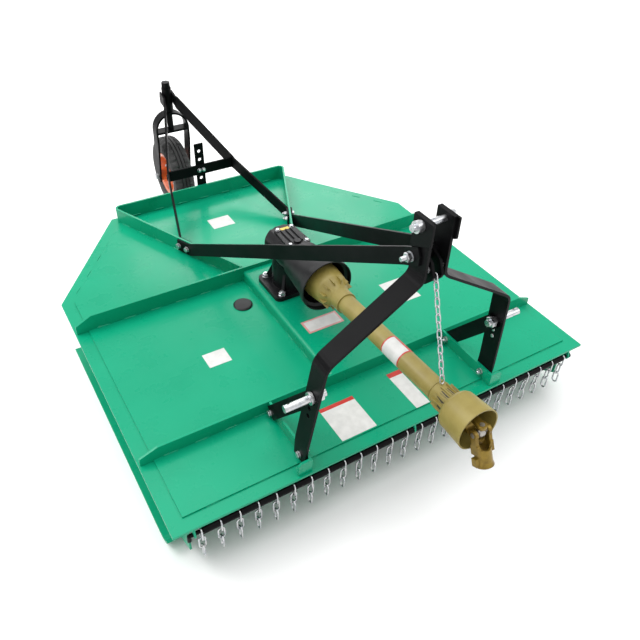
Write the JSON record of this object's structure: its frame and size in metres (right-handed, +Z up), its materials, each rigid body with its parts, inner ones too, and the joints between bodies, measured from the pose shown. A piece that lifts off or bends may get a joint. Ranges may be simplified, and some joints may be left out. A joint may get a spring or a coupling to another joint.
{
  "type": "tractor rotary mower",
  "caption": "Mower deck on skids for a tractor's three point hitch, with drive shaft, gearbox, swinging blades under it, front chain guard and castor tail wheel.",
  "frame": {"origin": "on the floor, under the middle of the whole machine's length and width", "axes": "+Z up, +Y to the rear where the tail wheel is, +X across the machine, -Y towards the tractor"},
  "size_m": [1.55, 2.4884, 0.99],
  "materials": {
    "deck_paint": "glossy green enamel",
    "frame_paint": "semi-gloss black enamel",
    "casting": "gloss black paint on rough casting",
    "black_plastic": "satin black moulding",
    "zinc": "bright zinc plate",
    "guard_yellow": "matte mustard yellow",
    "yoke_yellow": "yellow passivated forging",
    "shaft_steel": "oiled steel",
    "blade_steel": "hardened spring steel",
    "rim_orange": "orange enamel",
    "tyre": "moulded black rubber"
  },
  "bodies": {
    "deck": {"deck_plate": "deck_paint", "deck_rim": "deck_paint", "left_skirt": "deck_paint", "right_skirt": "deck_paint", "rear_skirt": "deck_paint", "left_skid": "deck_paint", "right_skid": "deck_paint", "front_cross_rib": "deck_paint", "middle_cross_rib": "deck_paint", "gearbox_channel": "deck_paint", "tray_rail": "deck_paint", "left_leg_rib": "deck_paint", "right_leg_rib": "deck_paint", "access_plug": "black_plastic", "gearbox_housing": "casting", "gearbox_cover": "casting", "input_guard": "black_plastic", "left_hitch_leg": "frame_paint", "right_hitch_leg": "frame_paint", "left_leg_stay": "frame_paint", "right_leg_stay": "frame_paint", "left_lower_pin": "zinc", "right_lower_pin": "zinc", "left_mast_plate": "frame_paint", "right_mast_plate": "frame_paint", "top_link_pin": "zinc", "mast_spacer": "frame_paint", "left_brace": "frame_paint", "right_brace": "frame_paint", "left_tail_arm": "frame_paint", "right_tail_arm": "frame_paint", "tail_crossbar": "frame_paint", "tail_strap": "frame_paint", "castor_collar": "frame_paint", "guard_rod": "frame_paint", "guard_spacers": "frame_paint", "shaft_guard": "guard_yellow", "guard_chain": "zinc"},
    "rotor": {"blade_carrier": "frame_paint"},
    "front_blade_body": {"front_blade": "blade_steel"},
    "rear_blade_body": {"rear_blade": "blade_steel"},
    "shaft": {"drive_shaft": "yoke_yellow"},
    "cross": {"joint_cross": "shaft_steel"},
    "yoke": {"tractor_yoke": "yoke_yellow"},
    "castor": {"tail_fork": "frame_paint", "tail_axle": "zinc"},
    "wheel": {"tail_rim": "rim_orange", "tail_tyre": "tyre"},
    "curtain": {"chain_curtain": "zinc"}
  },
  "joints": [
    {"name": "rotor_spin", "type": "hinge", "parent": "deck", "child": "rotor", "pos_m": [0, -0.14874, 0.14], "axis": [0, 0, 1], "continuous": true},
    {"name": "front_blade_swing", "type": "hinge", "parent": "rotor", "child": "front_blade_body", "pos_m": [0, -0.52674, 0.09], "axis": [0, 0, 1], "continuous": true},
    {"name": "rear_blade_swing", "type": "hinge", "parent": "rotor", "child": "rear_blade_body", "pos_m": [0, 0.22926, 0.09], "axis": [0, 0, 1], "continuous": true},
    {"name": "shaft_spin", "type": "hinge", "parent": "deck", "child": "shaft", "pos_m": [0, -0.31374, 0.451], "axis": [0, 0.999, -0.0454], "continuous": true},
    {"name": "shaft_to_cross", "type": "hinge", "parent": "shaft", "child": "cross", "pos_m": [0, -1.17973, 0.49032], "axis": [0, 0.0454, 0.999], "range_deg": [-20, 20]},
    {"name": "cross_to_yoke", "type": "hinge", "parent": "cross", "child": "yoke", "pos_m": [0, -1.17973, 0.49032], "axis": [-1, 0, 0], "range_deg": [0, 120]},
    {"name": "castor_swivel", "type": "hinge", "parent": "deck", "child": "castor", "pos_m": [0, 1.01926, 0.587], "axis": [0, 0, 1], "continuous": true},
    {"name": "wheel_spin", "type": "hinge", "parent": "castor", "child": "wheel", "pos_m": [0, 1.06426, 0.18], "axis": [1, 0, 0], "continuous": true},
    {"name": "curtain_swing", "type": "hinge", "parent": "deck", "child": "curtain", "pos_m": [0, -0.90874, 0.204], "axis": [1, 0, 0], "range_deg": [-60, 60]}
  ],
  "couplings": [
    {"joint": "shaft_spin", "follows": "rotor_spin", "ratio": 0.518}
  ]
}
